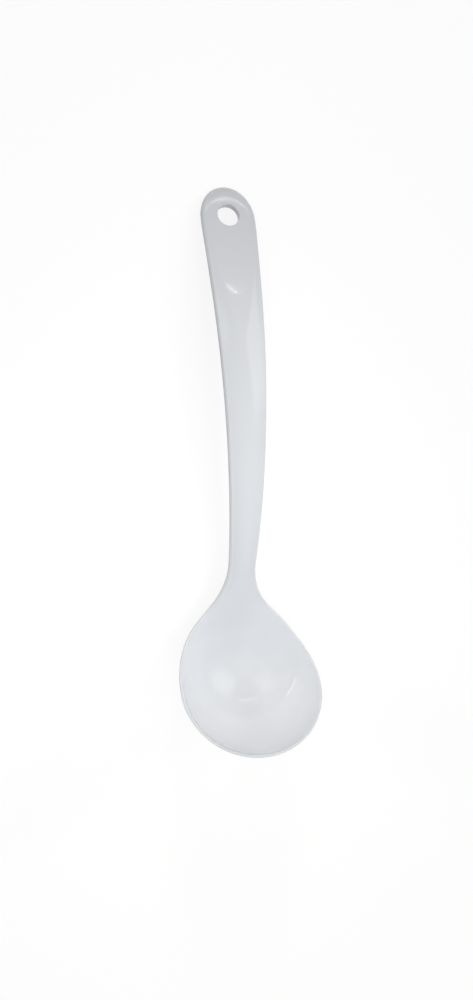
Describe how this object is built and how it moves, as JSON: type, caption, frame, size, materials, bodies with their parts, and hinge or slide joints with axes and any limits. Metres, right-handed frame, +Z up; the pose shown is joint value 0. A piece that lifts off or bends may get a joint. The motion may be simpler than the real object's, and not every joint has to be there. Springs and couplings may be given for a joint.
{
  "type": "serving ladle",
  "caption": "White glossy moulded melamine soup ladle with a round bowl, narrow neck, arched tapering handle and a hanging hole in its rounded end.",
  "frame": {"origin": "centre of the footprint on the table that the ladle lies on", "axes": "+Y along the ladle from the bowl to the hanging end, +Z up from the table, mirror plane at X = 0"},
  "size_m": [0.069, 0.2545, 0.0551],
  "materials": {
    "melamine": "gloss"
  },
  "bodies": {
    "root": {"bowl": "melamine", "neck": "melamine", "handle": "melamine", "hanging_end": "melamine"}
  },
  "joints": []
}
